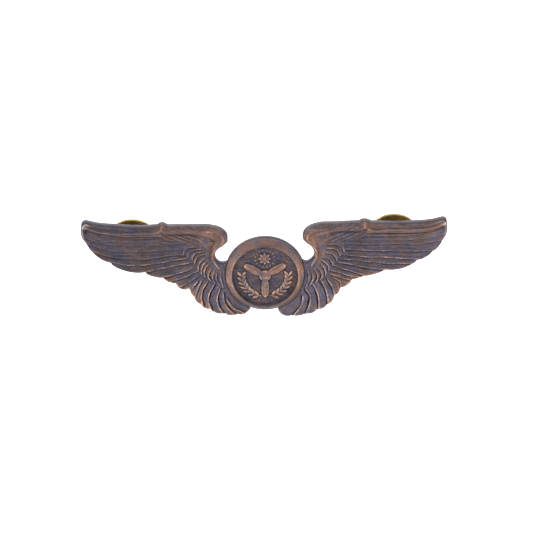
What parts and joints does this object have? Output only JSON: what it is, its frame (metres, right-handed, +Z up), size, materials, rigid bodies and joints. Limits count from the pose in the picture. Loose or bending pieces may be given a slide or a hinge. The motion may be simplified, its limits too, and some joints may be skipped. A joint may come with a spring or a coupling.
{
  "type": "pilot wings pin",
  "caption": "Metal wings badge with a round ringed medallion, two tack posts on its back and a squeeze-release clutch sliding on each post.",
  "frame": {"origin": "centre of the flat round pad behind the medallion", "axes": "+X to the viewer's right, +Z up the badge as worn, +Y out of the back towards the wearer"},
  "size_m": [0.0762, 0.0107, 0.0228],
  "materials": {
    "wings_bronze": "antiqued copper-bronze, dark grey-violet in the recesses, worn copper on the ridges",
    "medallion_bronze": "antiqued copper-bronze, worn copper rim, dark field",
    "post_brass": "drawn wire, dull",
    "solder": "dull grey brazing fillet",
    "clutch_brass": "stamped brass, tarnished inside the dish",
    "cage_brass": "stamped brass",
    "spring_brass": "hard-rolled spring brass"
  },
  "bodies": {
    "badge": {"wings_plate": "wings_bronze", "medallion": "medallion_bronze", "post_left": "post_brass", "solder_left": "solder", "post_right": "post_brass", "solder_right": "solder"},
    "clutch_left": {"clutch_left_disc": "clutch_brass", "clutch_left_cage": "cage_brass", "clutch_left_clip": "spring_brass"},
    "clutch_left_jaw_a": {"clutch_left_lever_a": "spring_brass"},
    "clutch_left_jaw_b": {"clutch_left_lever_b": "spring_brass"},
    "clutch_right": {"clutch_right_disc": "clutch_brass", "clutch_right_cage": "cage_brass", "clutch_right_clip": "spring_brass"},
    "clutch_right_jaw_a": {"clutch_right_lever_a": "spring_brass"},
    "clutch_right_jaw_b": {"clutch_right_lever_b": "spring_brass"}
  },
  "joints": [
    {"name": "clutch_left_slide", "type": "slide", "parent": "badge", "child": "clutch_left", "axis": [0, 1, 0], "range_m": [0, 0.012]},
    {"name": "clutch_left_jaw_a_hinge", "type": "hinge", "parent": "clutch_left", "child": "clutch_left_jaw_a", "pos_m": [-0.02405, 0.00305, 0.0063], "axis": [0, 0, 1], "range_deg": [0, 9], "stiffness_Nm_per_rad": 0.0001},
    {"name": "clutch_left_jaw_b_hinge", "type": "hinge", "parent": "clutch_left", "child": "clutch_left_jaw_b", "pos_m": [-0.03115, 0.00305, 0.0063], "axis": [0, 0, 1], "range_deg": [-9, 0], "stiffness_Nm_per_rad": 0.0001},
    {"name": "clutch_right_slide", "type": "slide", "parent": "badge", "child": "clutch_right", "axis": [0, 1, 0], "range_m": [0, 0.012]},
    {"name": "clutch_right_jaw_a_hinge", "type": "hinge", "parent": "clutch_right", "child": "clutch_right_jaw_a", "pos_m": [0.03055, 0.00305, 0.00655], "axis": [0, 0, 1], "range_deg": [0, 9], "stiffness_Nm_per_rad": 0.0001},
    {"name": "clutch_right_jaw_b_hinge", "type": "hinge", "parent": "clutch_right", "child": "clutch_right_jaw_b", "pos_m": [0.02345, 0.00305, 0.00655], "axis": [0, 0, 1], "range_deg": [-9, 0], "stiffness_Nm_per_rad": 0.0001}
  ],
  "couplings": [
    {"joint": "clutch_left_jaw_b_hinge", "follows": "clutch_left_jaw_a_hinge", "ratio": -1},
    {"joint": "clutch_right_jaw_b_hinge", "follows": "clutch_right_jaw_a_hinge", "ratio": -1}
  ]
}
